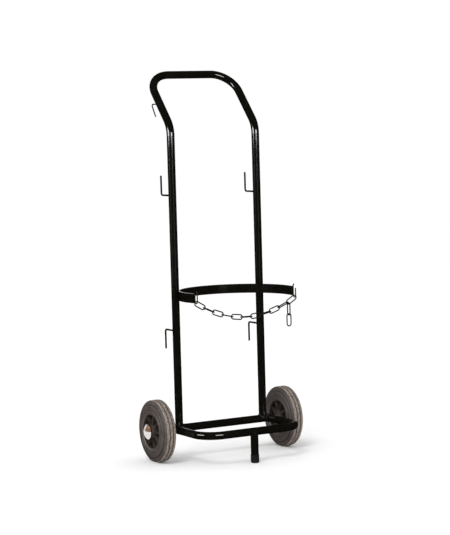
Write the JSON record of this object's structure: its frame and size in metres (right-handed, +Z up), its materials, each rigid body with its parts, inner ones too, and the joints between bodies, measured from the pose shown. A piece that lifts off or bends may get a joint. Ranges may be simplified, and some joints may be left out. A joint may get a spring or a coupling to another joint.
{
  "type": "gas bottle trolley",
  "caption": "Two-wheeled trolley of bent black tube that carries a gas bottle in a ring closed by a chain, with hooks for hoses and a torch.",
  "frame": {"origin": "on the floor under the middle of the overall box", "axes": "+Z up, +X to the trolley's right along the axle, front (base, ring opening and chain) towards -Y, handle towards +Y"},
  "size_m": [0.5658, 0.3882, 1.2527],
  "materials": {
    "frame_gloss_black": "gloss black powder coat",
    "chain_steel": "dark oiled steel wire",
    "axle_steel": "zinc plated",
    "cap_chrome": "polished pressed dome",
    "tyre_rubber": "grey-brown solid rubber with grooved tread",
    "rim_plastic": "black moulded plastic",
    "bush_nylon": "natural nylon",
    "foot_plastic": "black moulded plastic cap"
  },
  "bodies": {
    "frame": {"handle_frame_tube": "frame_gloss_black", "rear_cross_tube": "frame_gloss_black", "base_loop_tube": "frame_gloss_black", "foot_tube": "frame_gloss_black", "foot_cap": "foot_plastic", "bottle_ring": "frame_gloss_black", "hose_hook_upper_left": "frame_gloss_black", "hose_hook_upper_right": "frame_gloss_black", "hose_hook_lower_left": "frame_gloss_black", "hose_hook_lower_right": "frame_gloss_black", "torch_hook": "frame_gloss_black", "chain_catch": "frame_gloss_black", "axle_rod": "axle_steel", "axle_spacer_left": "axle_steel", "axle_spacer_right": "axle_steel", "axle_washer_left": "axle_steel", "axle_washer_right": "axle_steel", "axle_cap_left": "cap_chrome", "axle_cap_right": "cap_chrome", "chain_link_01": "chain_steel"},
    "wheel_left": {"tyre_left": "tyre_rubber", "rim_left": "rim_plastic", "wheel_bush_left": "bush_nylon"},
    "wheel_right": {"tyre_right": "tyre_rubber", "rim_right": "rim_plastic", "wheel_bush_right": "bush_nylon"},
    "chain_swag": {"chain_link_02": "chain_steel", "chain_link_03": "chain_steel", "chain_link_04": "chain_steel", "chain_link_05": "chain_steel", "chain_link_06": "chain_steel", "chain_link_07": "chain_steel", "chain_link_08": "chain_steel", "chain_link_09": "chain_steel", "chain_link_10": "chain_steel", "chain_link_11": "chain_steel", "chain_link_12": "chain_steel"},
    "chain_tail_upper": {"chain_link_13": "chain_steel"},
    "chain_tail_lower": {"chain_link_14": "chain_steel"}
  },
  "joints": [
    {"name": "wheel_left_spin", "type": "hinge", "parent": "frame", "child": "wheel_left", "pos_m": [-0.237, 0.0294, 0.1], "axis": [1, 0, 0], "continuous": true},
    {"name": "wheel_right_spin", "type": "hinge", "parent": "frame", "child": "wheel_right", "pos_m": [0.237, 0.0294, 0.1], "axis": [1, 0, 0], "continuous": true},
    {"name": "chain_swing", "type": "hinge", "parent": "frame", "child": "chain_swag", "pos_m": [-0.17619, -0.144, 0.518], "axis": [0.9999, 0, -0.0138], "range_deg": [-25, 25]},
    {"name": "chain_tail_swing", "type": "hinge", "parent": "chain_swag", "child": "chain_tail_upper", "pos_m": [0.16237, -0.144, 0.49192], "axis": [1, 0, 0], "range_deg": [-20, 20]},
    {"name": "chain_end_swing", "type": "hinge", "parent": "chain_tail_upper", "child": "chain_tail_lower", "pos_m": [0.16234, -0.144, 0.45667], "axis": [0, 1, 0], "range_deg": [-45, 45]}
  ]
}
